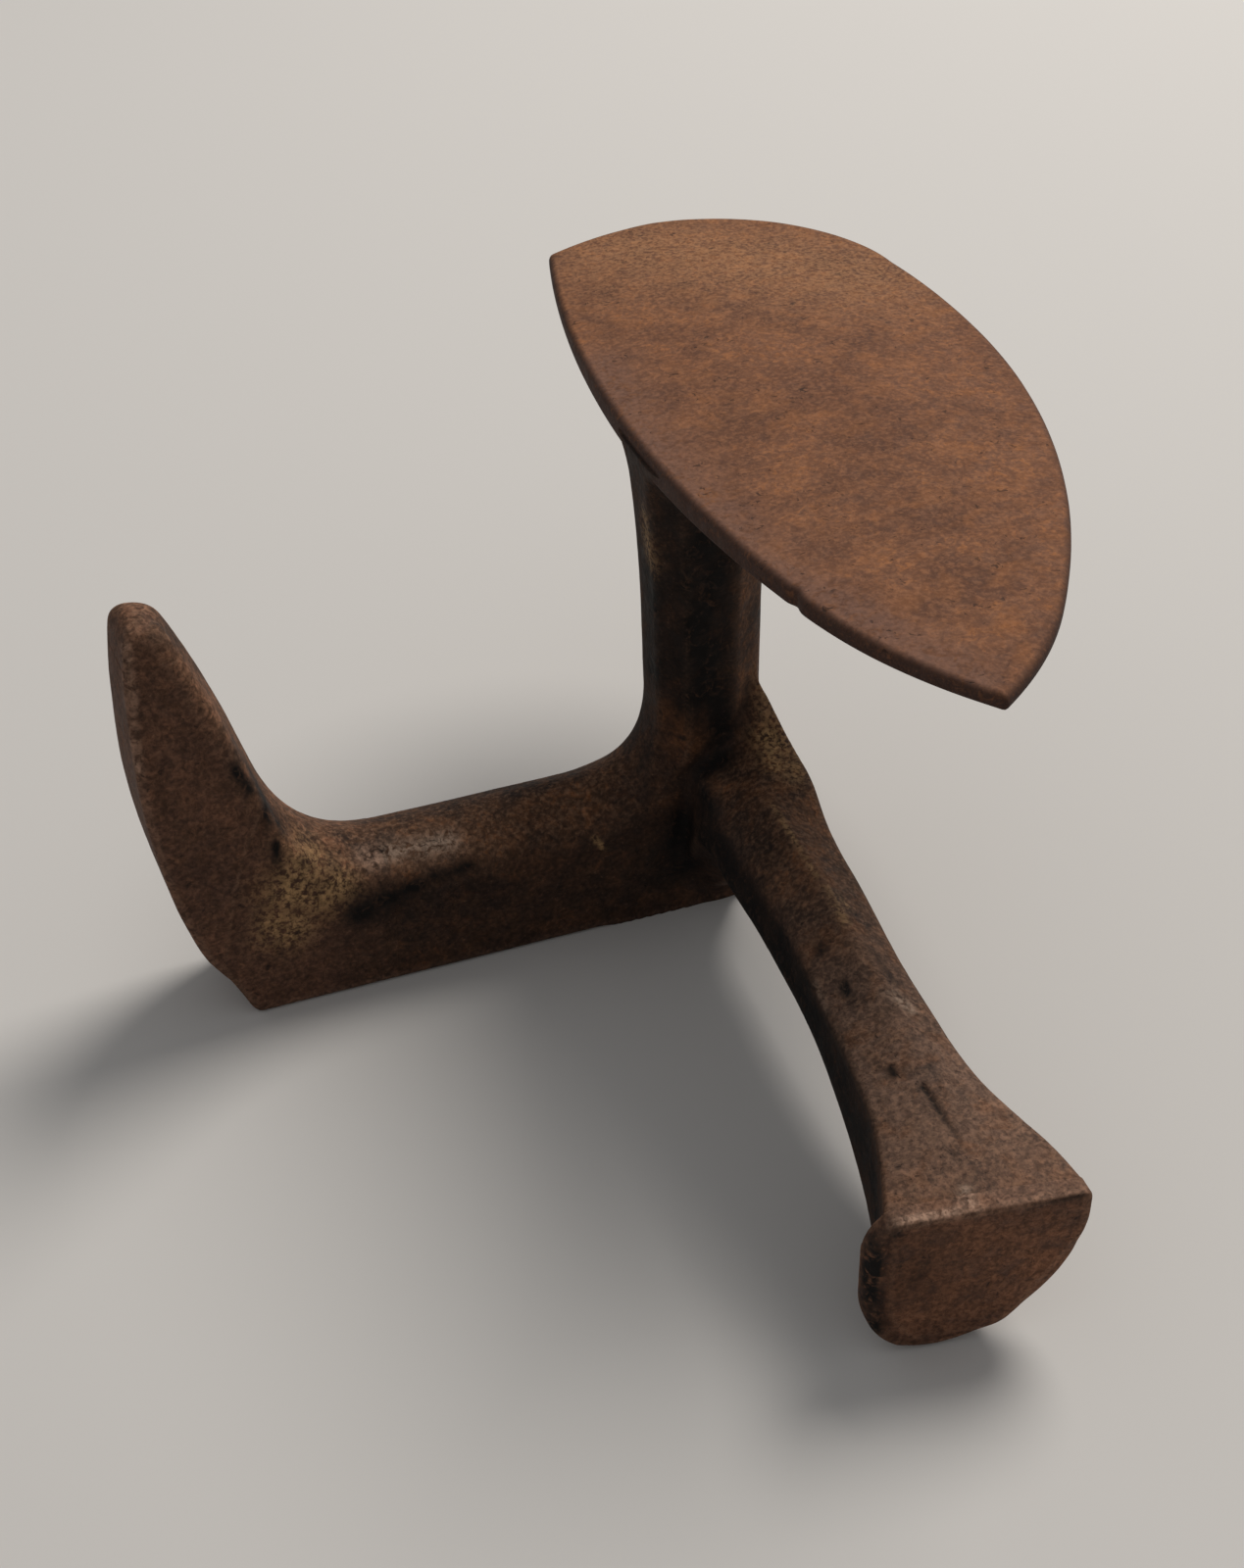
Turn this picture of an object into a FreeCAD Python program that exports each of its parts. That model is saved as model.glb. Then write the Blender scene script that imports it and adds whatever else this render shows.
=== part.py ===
import FreeCAD, Part
import math
import os
import Sketcher

# Cobbler anvil: one iron casting with three legs that meet in a corner.
# Each leg ends in a working head square to it: a sole plate, a heel last and a toe last.
# The sub-parts are the natural regions of the casting, cut where one form ends and the next begins.
# Frame: millimetres, +Z up. The origin is on the floor under the upright leg's axis.
# The side leg runs along -X and the front leg along -Y.

DIMENSIONS = {
    # every leg
    "leg_half": 12.5,
    "foot_bevel": 3.0,
    "foot_slope": 0.6,
    # side leg, from the hub out to the toe last
    "side_start": 30.0,
    "side_end": 90.0,
    "side_ridge": 37.0,
    "side_waist": 35.5,
    "side_eave_drop": 7.0,
    # upright leg
    "upright_start": 62.0,
    "upright_end": 112.0,
    "upright_half": 13.3,
    "upright_near_left": 8.0,
    "upright_near_right": 3.0,
    "upright_flare": 2.2,
    # webs where the side leg and the front leg run into the upright
    "side_web": 16.0,
    "side_web_reach": 14.4,
    # heel last
    "heel_x": 5.6,
    "heel_reach": 150.2,
    "heel_yaw": 8.0,
    "heel_block": 4.2,
    "heel_left": 20.3,
    "heel_right": 22.0,
    "heel_top": 37.2,
    "heel_ridge_x": 1.0,
    "heel_eave_drop": 0.8,
    "heel_shoulder": 4.0,
    "heel_shoulder_drop": 6.5,
    "heel_low_x": 7.0,
    "heel_corner": 12.0,
    "heel_bow": 32.0,
    "heel_corner_bow": 16.2,
    "heel_ease": 1.5,
    # front leg, where it meets the back of the heel last
    "front_end_left": 16.3,
    "front_end_right": 21.6,
    "front_end_low": 3.5,
    "front_end_foot": 28.0,
    # toe last, as distances out from the upright's axis and heights above the floor
    "toe_foot": 113.6,
    "toe_lip": 118.5,
    "toe_lip_height": 11.0,
    "toe_chin": 123.3,
    "toe_chin_height": 18.5,
    "toe_brow": 128.3,
    "toe_brow_height": 95.0,
    "toe_top": 122.3,
    "toe_tip": 103.0,
    "toe_nape": 117.3,
    "toe_nape_height": 99.0,
    "toe_instep": 107.0,
    "toe_instep_height": 69.0,
    "toe_ankle": 101.0,
    "toe_ankle_height": 52.0,
    "toe_rocker": 165.0,
    "toe_tip_bow": 6.2,
    "toe_instep_hollow": 60.0,
    "toe_ankle_hollow": 18.0,
    "toe_crown": 4.5,
    "toe_back_bevel": 6.0,
    "toe_tip_half": 6.5,
    "toe_taper_start": 49.0,
    # sole plate
    "plate_low": 118.0,
    "plate_rim": 3.0,
    "plate_crown": 2.6,
    "plate_belly": 3.5,
    "plate_tail_x": 2.5,
    "plate_tail_y": 98.5,
    "plate_rear_x": 28.0,
    "plate_rear_y": 108.3,
    "plate_wide_x": 74.0,
    "plate_wide_y": 63.0,
    "plate_shoulder_x": 35.5,
    "plate_shoulder_y": 90.5,
    "plate_tip_x": 11.5,
    "plate_tip_y": 114.0,
    "plate_nose_x": 9.5,
    "plate_nose_y": 65.0,
    "tail_bow": 98.0,
    "rear_bow": 46.0,
    "right_bow": 219.0,
    "shoulder_bow": 90.0,
    "nose_bow": 98.0,
    "left_bow": 365.0,
    "plate_centre_x": 30.0,
    "neck_spread": 13.0,
}

# Stations along the front leg, from inside the hub out to the ankle. Each becomes its own dimensions
# in the sheet, such as knee_reach, in the order of STATION_SIZES.
STATION_SIZES = ["reach", "left", "lean", "right", "low", "left_foot", "right_foot",
                 "left_eave", "right_eave", "ridge_x", "ridge"]
FRONT_STATIONS = {
    "core": [6.6, -8.5, 2.0, 10.6, 3.0, 8.0, 12.0, 40.0, 60.0, 9.8, 60.6],
    "web": [16.0, -10.0, 2.5, 14.3, 7.0, 20.0, 22.0, 39.8, 48.0, 7.4, 48.6],
    "root": [21.0, -10.5, 3.0, 14.6, 12.0, 27.0, 28.0, 39.8, 46.2, 5.2, 47.0],
    "joint": [30.0, -10.8, 3.2, 14.4, 18.0, 31.0, 31.0, 39.8, 44.6, 1.8, 46.0],
    "knuckle": [39.0, -10.8, 3.2, 14.0, 18.0, 31.0, 31.0, 39.8, 40.2, 1.8, 46.0],
    "knee": [60.0, -10.8, 3.0, 13.0, 18.0, 31.0, 31.0, 39.5, 38.0, 1.8, 45.3],
    "shin": [95.0, -11.7, 0.9, 10.5, 14.0, 26.0, 28.0, 38.0, 37.0, 1.2, 42.0],
    "ankle": [122.0, -14.2, 0.3, 11.2, 8.0, 15.0, 25.0, 37.3, 36.5, -1.0, 39.5],
}
for station, sizes in FRONT_STATIONS.items():
    for size_name, size in zip(STATION_SIZES, sizes):
        DIMENSIONS["%s_%s" % (station, size_name)] = size

doc = FreeCAD.newDocument("cobbler_anvil")
sheet = doc.addObject("Spreadsheet::Sheet", "dims")
for row, (alias, value) in enumerate(DIMENSIONS.items(), start=1):
    sheet.set("A%d" % row, alias)
    sheet.set("B%d" % row, str(value))
    sheet.setAlias("B%d" % row, alias)
doc.recompute()


def new_body(label):
    """An empty body that will become the sub-part with this label."""
    body = doc.addObject("PartDesign::Body", label)
    body.Label = label
    return body


def cell_value(expression):
    """The present value of an expression, used as a sketch's first guess."""
    probe = sheet.evalExpression(expression)
    return float(getattr(probe, "Value", probe))


def place_sketch(body, name, role, shift, turn=None):
    """A sketch on one of the body's own origin planes, moved by three expressions.
    turn is an expression in degrees about the sketch's upright direction."""
    sketch = body.newObject("Sketcher::SketchObject", name)
    plane = [item for item in body.Origin.OriginFeatures if item.Role == role][0]
    sketch.AttachmentSupport = [(plane, "")]
    sketch.MapMode = "FlatFace"
    if turn:
        sketch.AttachmentOffset = FreeCAD.Placement(
            FreeCAD.Vector(), FreeCAD.Rotation(FreeCAD.Vector(0, 1, 0), cell_value(turn)))
        sketch.setExpression(".AttachmentOffset.Rotation.Angle", "(%s) * 1 deg" % turn)
    for axis, expression in zip("xyz", shift):
        sketch.setExpression(".AttachmentOffset.Base.%s" % axis, expression)
    return sketch


def draw_outline(sketch, corners, bows=None):
    """A closed outline drawn clockwise through the corners, which are pairs of expressions.
    bows gives, for a corner's number, the radius of the arc that leaves that corner: the arc
    swells outwards, or is hollow where its radius is marked with a leading minus sign.
    The other stretches are straight."""
    bows = bows or {}
    points = [FreeCAD.Vector(cell_value(u), cell_value(v), 0) for u, v in corners]
    count = len(points)
    first = []
    for i in range(count):
        start = points[i]
        end = points[(i + 1) % count]
        radius = cell_value(bows[i]) if i in bows else 0
        if radius > 0:
            sketch.addGeometry(arc_between(end, start, radius), False)
        elif radius < 0:
            sketch.addGeometry(arc_between(start, end, -radius), False)
        else:
            sketch.addGeometry(Part.LineSegment(start, end), False)
        first.append(2 if radius > 0 else 1)
    for i in range(count):
        following = (i + 1) % count
        sketch.addConstraint(
            Sketcher.Constraint("Coincident", i, 3 - first[i], following, first[following]))
    for i, (u, v) in enumerate(corners):
        bind(sketch, Sketcher.Constraint("DistanceX", -1, 1, i, first[i], points[i].x), "u%d" % i, u)
        bind(sketch, Sketcher.Constraint("DistanceY", -1, 1, i, first[i], points[i].y), "v%d" % i, v)
    for i, radius in bows.items():
        size = abs(cell_value(radius))
        bind(sketch, Sketcher.Constraint("Radius", i, size), "bow%d" % i, "abs(%s)" % radius)
    return sketch


def arc_between(start, end, radius):
    """The anticlockwise arc from start to end, which turns by less than half a circle."""
    chord = end - start
    depth = (radius ** 2 - (chord.Length / 2) ** 2) ** 0.5
    centre = (start + end) / 2 + FreeCAD.Vector(-chord.y, chord.x, 0).normalize() * depth
    angles = [math.atan2(point.y - centre.y, point.x - centre.x) for point in (start, end)]
    return Part.ArcOfCircle(Part.Circle(centre, FreeCAD.Vector(0, 0, 1), radius), angles[0], angles[1])


def bind(sketch, constraint, name, expression):
    """Adds a constraint and drives its size from the sheet."""
    index = sketch.addConstraint(constraint)
    sketch.renameConstraint(index, name)
    sketch.setExpression("Constraints.%s" % name, expression)


def loft(body, name, sketches, ruled=False):
    """Adds a loft through the sketches to the body."""
    feature = body.newObject("PartDesign::AdditiveLoft", name)
    feature.Profile = sketches[0]
    feature.Sections = sketches[1:]
    feature.Ruled = ruled
    return feature


def pad(body, name, sketch, length, reverse=False):
    """Pads a sketch by a length given as an expression."""
    feature = body.newObject("PartDesign::Pad", name)
    feature.Profile = sketch
    feature.Reversed = reverse
    feature.setExpression("Length", length)
    return feature


def edges_between(feature, x_low, x_high, z_low, z_high):
    """Names of the feature's edges that lie along the side planes, within a window in x and z."""
    limits = [cell_value(item) for item in (x_low, x_high, z_low, z_high)]
    names = []
    for number, edge in enumerate(feature.Shape.Edges, start=1):
        box = edge.BoundBox
        if (box.YLength < 0.01 and box.XMin > limits[0] and box.XMax < limits[1]
                and box.ZMin > limits[2] and box.ZMax < limits[3]):
            names.append("Edge%d" % number)
    return names


def bevel(body, name, feature, edges, size):
    """Bevels the named edges of a feature. Its size is an expression."""
    chamfer = body.newObject("PartDesign::Chamfer", name)
    chamfer.Base = (feature, edges)
    chamfer.setExpression("Size", size)
    doc.recompute()
    return chamfer


# Leg sections. A side or front leg is a flat bar with a ridged top: two upright sides, two slopes
# up to the ridge, and two bevels down to a flat underside.

def bar_section(body, name, role, shift, left, right, low, sides, eaves, ridge, turn=None, lean="0"):
    """Seven corners, from the left side's foot over the ridge to the underside.
    sides, eaves and ridge are (left, right), (left, right) and (across, height) expressions.
    lean is how far the left side's top leans in over its foot."""
    corners = [
        (left, sides[0]),
        ("%s + %s" % (left, lean), eaves[0]),
        ridge,
        (right, eaves[1]),
        (right, sides[1]),
        ("%s - (%s - (%s)) * dims.foot_slope" % (right, sides[1], low), low),
        ("%s + (%s - (%s)) * dims.foot_slope" % (left, sides[0], low), low),
    ]
    return draw_outline(place_sketch(body, name, role, shift, turn), corners)


def side_section(body, name, x, ridge, far_eave="dims.side_ridge - dims.side_eave_drop"):
    """A section of the side leg. It stands on the floor, its near side flush with the hub."""
    return bar_section(
        body, name, "YZ_Plane", ("0", "0", x),
        left="-dims.leg_half", right="dims.leg_half", low="0",
        sides=("dims.foot_bevel / 3", "dims.foot_bevel"),
        eaves=("%s - dims.side_eave_drop" % ridge, far_eave),
        ridge=("0", ridge))


def front_section(body, station):
    """The section of the front leg at one of its stations."""
    size = {item: "dims.%s_%s" % (station, item) for item in STATION_SIZES}
    return bar_section(
        body, "%s_%s" % (body.Label, station), "XZ_Plane", ("0", "0", size["reach"]),
        left=size["left"], right=size["right"], low=size["low"],
        sides=(size["left_foot"], size["right_foot"]),
        eaves=(size["left_eave"], size["right_eave"]),
        ridge=(size["ridge_x"], size["ridge"]), lean=size["lean"])


def upright_section(body, name, z, grow="0", grow_left=None):
    """A section of the upright: a rounded bar whose right-hand side is faceted.
    grow swells it evenly, and grow_left sets the left side's own swelling."""
    half = "(dims.upright_half + %s)" % grow
    left = "(dims.upright_half + %s)" % (grow_left or grow)
    face = "(dims.leg_half + %s)" % grow
    corners = [
        ("-dims.upright_near_left - %s / 2" % (grow_left or grow), "-%s" % face),
        ("-%s" % left, "-%s / 2" % face),
        ("-%s" % left, "%s / 3" % face),
        ("-%s / 2" % left, face),
        ("%s / 2" % half, face),
        (half, "%s / 2.5" % face),
        (half, "-%s / 6" % face),
        ("%s * 0.8" % half, "-%s / 1.9" % face),
        ("dims.upright_near_right + %s" % grow, "-%s" % face),
    ]
    return draw_outline(place_sketch(body, name, "XY_Plane", ("0", "0", z)), corners)


# Hub: the corner block of the casting, where the three legs run into each other.

hub = new_body("hub")
loft(hub, "hub_column", [
    upright_section(hub, "hub_floor", "0"),
    upright_section(hub, "hub_top", "dims.upright_start"),
], ruled=True)
loft(hub, "hub_side_root", [
    side_section(hub, "hub_side_joint", "-dims.side_start", "dims.side_ridge"),
    side_section(hub, "hub_side_root_low", "-dims.side_start * 0.75",
                 "dims.side_ridge + dims.side_web * 0.08"),
    side_section(hub, "hub_side_root_middle", "-dims.side_start * 0.6",
                 "dims.side_ridge + dims.side_web * 0.35"),
    side_section(hub, "hub_side_root_high", "-dims.side_web_reach",
                 "dims.side_ridge + dims.side_web"),
])
core_outline = draw_outline(
    place_sketch(hub, "hub_side_core_outline", "YZ_Plane", ("0", "0", "-dims.side_web_reach")), [
        ("-dims.leg_half", "0"),
        ("-dims.leg_half", "dims.side_ridge + dims.side_web - dims.side_eave_drop"),
        ("dims.leg_half / 2", "dims.side_ridge + dims.side_web - dims.side_eave_drop"),
        ("dims.leg_half", "dims.side_ridge - dims.side_eave_drop"),
        ("dims.leg_half", "0"),
    ])
pad(hub, "hub_side_core", core_outline, "dims.side_web_reach")
loft(hub, "hub_front_root", [
    front_section(hub, station) for station in ("joint", "root", "web", "core")])

# Upright leg: carries the sole plate and swells a little just under it.

upright = new_body("upright_leg")
loft(upright, "upright_shaft", [
    upright_section(upright, "upright_foot", "dims.upright_start"),
    upright_section(upright, "upright_neck", "(dims.upright_start + dims.upright_end) / 2"),
    upright_section(upright, "upright_head", "dims.upright_end", "dims.upright_flare"),
])

# Side leg: a level bar that lies on the floor along its whole length.

side = new_body("side_leg")
loft(side, "side_bar", [
    side_section(side, "side_inner", "-dims.side_start", "dims.side_ridge"),
    side_section(side, "side_middle", "-(dims.side_start + dims.side_end) / 2", "dims.side_waist"),
    side_section(side, "side_outer", "-dims.side_end", "dims.side_ridge"),
])

# Front leg: arched clear of the floor, widening to the back of the heel last.

front = new_body("front_leg")
front_sections = [front_section(front, station) for station in ("joint", "knuckle", "knee", "shin", "ankle")]
front_end = bar_section(
    front, "front_leg_end", "XZ_Plane",
    ("-dims.heel_x + dims.heel_block * sin(dims.heel_yaw)", "0",
     "dims.heel_reach - dims.heel_block * cos(dims.heel_yaw)"),
    left="-dims.front_end_left", right="dims.front_end_right", low="dims.front_end_low",
    sides=("dims.heel_corner", "dims.front_end_foot"),
    eaves=("dims.heel_top - dims.heel_eave_drop", "dims.heel_top - dims.heel_eave_drop"),
    ridge=("dims.heel_ridge_x", "dims.heel_top"), turn="-dims.heel_yaw")
loft(front, "front_bar", front_sections + [front_end])

# Heel last: a D-shaped block whose flat face is the working face for heels. The slopes of the leg's
# top run on over it, and its left side stands out from the leg as a shoulder.

heel = new_body("heel_last")
heel_outline = draw_outline(
    place_sketch(heel, "heel_outline", "XZ_Plane", ("-dims.heel_x", "0", "dims.heel_reach"),
                 turn="-dims.heel_yaw"), [
        ("-dims.heel_left + dims.heel_shoulder", "dims.heel_top - dims.heel_eave_drop"),
        ("dims.heel_ridge_x", "dims.heel_top"),
        ("dims.heel_right - dims.heel_ease", "dims.heel_top - dims.heel_eave_drop"),
        ("dims.heel_right", "dims.heel_top - dims.heel_eave_drop - dims.heel_ease"),
        ("-dims.heel_low_x + dims.heel_ease", "0"),
        ("-dims.heel_low_x - dims.heel_ease", "0"),
        ("-dims.heel_left", "dims.heel_corner"),
        ("-dims.heel_left", "dims.heel_top - dims.heel_shoulder_drop"),
    ], bows={3: "dims.heel_bow", 5: "dims.heel_corner_bow"})
pad(heel, "heel_slab", heel_outline, "dims.heel_block", reverse=True)

# Toe last: a tapering horn that stands up from the end of the side leg, working face outwards.

toe = new_body("toe_last")
toe_outline = draw_outline(
    place_sketch(toe, "toe_outline", "XZ_Plane", ("0", "0", "0")), [
        ("-dims.side_end", "0"),
        ("-dims.toe_foot", "0"),
        ("-dims.toe_lip", "dims.toe_lip_height"),
        ("-dims.toe_chin", "dims.toe_chin_height"),
        ("-dims.toe_brow", "dims.toe_brow_height"),
        ("-dims.toe_top", "dims.toe_tip"),
        ("-dims.toe_nape", "dims.toe_nape_height"),
        ("-dims.toe_instep", "dims.toe_instep_height"),
        ("-dims.toe_ankle", "dims.toe_ankle_height"),
        ("-dims.side_end", "dims.side_ridge"),
    ], bows={3: "dims.toe_rocker", 4: "dims.toe_tip_bow",
             7: "-dims.toe_instep_hollow", 8: "-dims.toe_ankle_hollow"})
horn = pad(toe, "toe_horn", toe_outline, "dims.leg_half * 2")
horn.Midplane = True
doc.recompute()
face_edges = edges_between(horn, "-dims.toe_brow - dims.toe_crown", "-dims.toe_chin",
                           "dims.toe_chin_height - 1", "dims.toe_brow_height + 1")
crowned = bevel(toe, "toe_crown", horn, face_edges, "dims.toe_crown")
back_edges = edges_between(crowned, "-dims.toe_top", "-dims.side_end + 1",
                           "dims.side_ridge - 1", "dims.toe_tip")
bevel(toe, "toe_back", crowned, back_edges, "dims.toe_back_bevel")

for name, side_sign in (("near", "-"), ("far", "")):
    taper_outline = draw_outline(
        place_sketch(toe, "toe_taper_%s_outline" % name, "YZ_Plane", ("0", "0", "0")), [
            ("%s1 * dims.leg_half" % side_sign, "dims.toe_taper_start"),
            ("%s1 * dims.toe_tip_half" % side_sign, "dims.toe_tip + 1"),
            ("%s1 * (dims.leg_half + 1)" % side_sign, "dims.toe_tip + 1"),
        ])
    taper = toe.newObject("PartDesign::Pocket", "toe_taper_%s" % name)
    taper.Profile = taper_outline
    taper.Type = "ThroughAll"
    taper.Midplane = True

# Sole plate: a thin pointed oval, crowned on top and swelling underneath to meet the upright.

def plate_outline(body, name, z, scale="1", centre_x="dims.plate_centre_x"):
    """The plate's outline at height z, drawn in by the scale towards a point on the X axis."""
    corners = [
        ("-dims.plate_tail_x", "dims.plate_tail_y"),
        ("dims.plate_rear_x", "dims.plate_rear_y"),
        ("dims.plate_wide_x", "dims.plate_wide_y"),
        ("dims.plate_shoulder_x", "-dims.plate_shoulder_y"),
        ("dims.plate_tip_x", "-dims.plate_tip_y"),
        ("-dims.plate_nose_x", "-dims.plate_nose_y"),
    ]
    bows = ["dims.tail_bow", "dims.rear_bow", "dims.right_bow",
            "dims.shoulder_bow", "dims.nose_bow", "dims.left_bow"]
    scaled = [("%s + %s * (%s - %s)" % (centre_x, scale, u, centre_x), "%s * %s" % (scale, v))
              for u, v in corners]
    scaled_bows = {i: "%s * %s" % (radius, scale) for i, radius in enumerate(bows)}
    return draw_outline(place_sketch(body, name, "XY_Plane", ("0", "0", z)), scaled, scaled_bows)


plate = new_body("sole_plate")
pad(plate, "plate_rim_slab", plate_outline(plate, "plate_rim_outline", "dims.plate_low"),
    "dims.plate_rim")
loft(plate, "plate_crown_top", [
    plate_outline(plate, "crown_edge", "dims.plate_low + dims.plate_rim"),
    plate_outline(plate, "crown_middle", "dims.plate_low + dims.plate_rim + dims.plate_crown * 0.7",
                  "0.85"),
    plate_outline(plate, "crown_top", "dims.plate_low + dims.plate_rim + dims.plate_crown", "0.5"),
])
loft(plate, "plate_belly", [
    plate_outline(plate, "belly_edge", "dims.plate_low", "0.95", "0"),
    plate_outline(plate, "belly_middle", "dims.plate_low - dims.plate_belly * 0.57", "0.7", "0"),
    plate_outline(plate, "belly_bottom", "dims.plate_low - dims.plate_belly", "0.4", "0"),
])
loft(plate, "plate_neck", [
    upright_section(plate, "neck_foot", "dims.upright_end", "dims.upright_flare"),
    upright_section(plate, "neck_middle", "(dims.upright_end * 2 + dims.plate_low) / 3",
                    "dims.upright_flare + dims.neck_spread * 0.25", "dims.upright_flare"),
    upright_section(plate, "neck_top", "dims.plate_low + dims.plate_rim * 0.2",
                    "dims.neck_spread", "dims.upright_flare"),
])

doc.recompute()

PARTS = [plate, upright, hub, side, toe, front, heel]

failed = [item.Label for item in doc.Objects if {"Invalid", "Error"} & set(item.State)]
if failed:
    raise RuntimeError("failed objects: %s" % ", ".join(failed))
for part in PARTS:
    if part.Shape.isNull() or not part.Shape.isValid() or len(part.Shape.Solids) != 1:
        raise RuntimeError("bad shape: %s" % part.Label)

os.makedirs("parts", exist_ok=True)
for part in PARTS:
    part.Shape.exportStep("parts/%s.step" % part.Label)
    box = part.Shape.BoundBox
    print("%-12s %8.0f mm3  x %.1f..%.1f  y %.1f..%.1f  z %.1f..%.1f" % (
        part.Label, part.Shape.Volume, box.XMin, box.XMax, box.YMin, box.YMax, box.ZMin, box.ZMax))
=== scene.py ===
import math

import bpy
import numpy as np
from mathutils import Matrix


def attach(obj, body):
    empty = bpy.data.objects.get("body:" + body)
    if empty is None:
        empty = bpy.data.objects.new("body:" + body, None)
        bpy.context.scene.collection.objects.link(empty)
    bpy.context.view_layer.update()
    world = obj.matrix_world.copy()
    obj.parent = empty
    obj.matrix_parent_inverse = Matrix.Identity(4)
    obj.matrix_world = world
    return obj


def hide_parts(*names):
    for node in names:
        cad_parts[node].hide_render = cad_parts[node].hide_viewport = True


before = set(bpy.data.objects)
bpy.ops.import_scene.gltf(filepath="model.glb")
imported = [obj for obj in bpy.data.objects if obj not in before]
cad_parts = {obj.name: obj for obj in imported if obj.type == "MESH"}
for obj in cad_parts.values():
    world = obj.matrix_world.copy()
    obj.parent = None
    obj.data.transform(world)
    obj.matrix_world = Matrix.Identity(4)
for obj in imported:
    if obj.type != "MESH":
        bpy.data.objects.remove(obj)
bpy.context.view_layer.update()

# Cobbler's anvil, one iron casting. Lengths are in millimetres until a mesh is made of them.
# The origin is on the floor under the upright leg; the side leg runs along -X, the front leg along -Y.
#
# Each leg and last is a distance field: negative inside the iron, zero on its skin.
# A mesh is made of a field by sending spokes out from a line through the piece's middle.


# Upright leg: the post that carries the sole plate
# Sand-cast grey iron, one with the rest. Its right-hand side is faceted and its near face is flat,
# and it spreads at the top to meet the underside of the plate.

POST_NEAR = 12.5
POST_SIDE = 13.3
POST_HEIGHTS = (0, 62, 90, 106, 112, 115, 117, 119)
POST_SPREAD = (0, 0, 0.6, 1.6, 2.6, 5.0, 9.0, 15.0)
POST_LEFT_SPREAD = (0.2, 0.3, 0.8, 1.8, 2.4, 2.8, 3.0, 3.0)


def round_max(a, b, width):
    """The larger of two distances, with the edge where they cross rounded off:
    (width - |a - b|)^2 / (4 width) is added wherever they differ by less than width."""
    close = np.maximum(width - np.abs(a - b), 0)
    return np.maximum(a, b) + close ** 2 / (4 * width)


def round_min(a, b, width):
    """The smaller of two distances, with the hollow where they cross filled by a fillet."""
    return -round_max(-a, -b, width)


def facets(u, v, corners, width):
    """Distance to a polygon drawn clockwise: the largest of the distances to its sides' lines,
    each ((v - v0) du - (u - u0) dv) / length, with every edge between them rounded."""
    distance = None
    for (u0, v0), (u1, v1) in zip(corners, corners[1:] + corners[:1]):
        du, dv = u1 - u0, v1 - v0
        side = ((v - v0) * du - (u - u0) * dv) / np.hypot(du, dv)
        distance = side if distance is None else round_max(distance, side, width)
    return distance


def along(s, knots, values):
    """A smooth curve through the values at the knots: cubic stretches whose end slopes are the
    central differences of the values."""
    knots, values = np.asarray(knots, float), np.asarray(values, float)
    slopes = np.gradient(values, knots)
    s = np.clip(s, knots[0], knots[-1])
    i = np.clip(np.searchsorted(knots, s) - 1, 0, len(knots) - 2)
    length = knots[i + 1] - knots[i]
    t = (s - knots[i]) / length
    ends = values[i] * (1 + 2 * t) * (1 - t) ** 2 + values[i + 1] * t ** 2 * (3 - 2 * t)
    return ends + length * t * (1 - t) * (slopes[i] * (1 - t) - slopes[i + 1] * t)


def upright_field(p):
    """Distance to the post: at each height a nine-sided section, spread by the neck's growth."""
    x, y, z = p[..., 0], p[..., 1], p[..., 2]
    spread = along(z, POST_HEIGHTS, POST_SPREAD)
    left = POST_SIDE + along(z, POST_HEIGHTS, POST_LEFT_SPREAD)
    right = POST_SIDE + spread
    face = POST_NEAR + spread
    return facets(x, y, [
        (5.3 - left, -face), (-left, -face / 2), (-left, face / 3), (-left / 2, face),
        (right / 2, face), (right, face / 2.5), (right, -face / 6), (right * 0.8, -face / 1.9),
        (3 + spread, -face)], 1.0)


def beyond(field, distance, allowance=3.0):
    """The field, sunk below its own skin past a cut plane: by a fifth of the square of the distance
    beyond the plane, up to the allowance, where the piece ends inside its neighbour."""
    past = np.maximum(distance, 0)
    return np.maximum(field + 0.2 * past ** 2, distance - allowance)


def shell(field, centres, across, up, tilt, columns, reach):
    """A closed skin round a line of centres. Spokes leave each centre along
    cos(tilt) (across cos(a) + up sin(a)) + sin(tilt) forward, where a goes round the columns,
    and halving finds where each one leaves the iron. Both ends close in a single point.
    Gives the points and the faces."""
    centres, across, up = (np.broadcast_to(v, (len(tilt), 3)).astype(float) for v in (centres, across, up))
    forward = np.cross(across, up)
    angle = np.linspace(0, 2 * np.pi, columns, endpoint=False)[None, :, None]
    lean = np.asarray(tilt, float)[:, None, None]
    ring = across[:, None] * np.cos(angle) + up[:, None] * np.sin(angle)
    spokes = np.cos(lean) * ring + np.sin(lean) * forward[:, None]
    starts = np.broadcast_to(centres[:, None], spokes.shape)
    spokes = np.concatenate([spokes.reshape(-1, 3), -forward[:1], forward[-1:]])
    starts = np.concatenate([starts.reshape(-1, 3), centres[:1], centres[-1:]])
    inner, outer = np.zeros(len(spokes)), np.full(len(spokes), float(reach))
    for _ in range(22):
        middle = (inner + outer) / 2
        outside = field(starts + spokes * middle[:, None]) > 0
        outer = np.where(outside, middle, outer)
        inner = np.where(outside, inner, middle)
    return starts + spokes * inner[:, None], ring_faces(len(tilt), columns)


def ring_faces(rows, columns):
    """Faces of rows of points, each row closed round, with one more point at either end:
    quads between the rows and a fan of triangles at each end. Outward for rows that advance
    along across x up."""
    grid = np.arange(rows * columns).reshape(rows, columns)
    after = np.roll(grid, -1, axis=1)
    quads = np.stack([grid[:-1], after[:-1], after[1:], grid[1:]], axis=-1).reshape(-1, 4)
    first, last = rows * columns, rows * columns + 1
    near = np.stack([after[0], grid[0], np.full(columns, first)], axis=-1)
    far = np.stack([grid[-1], after[-1], np.full(columns, last)], axis=-1)
    return quads.tolist() + near.tolist() + far.tolist()


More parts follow.
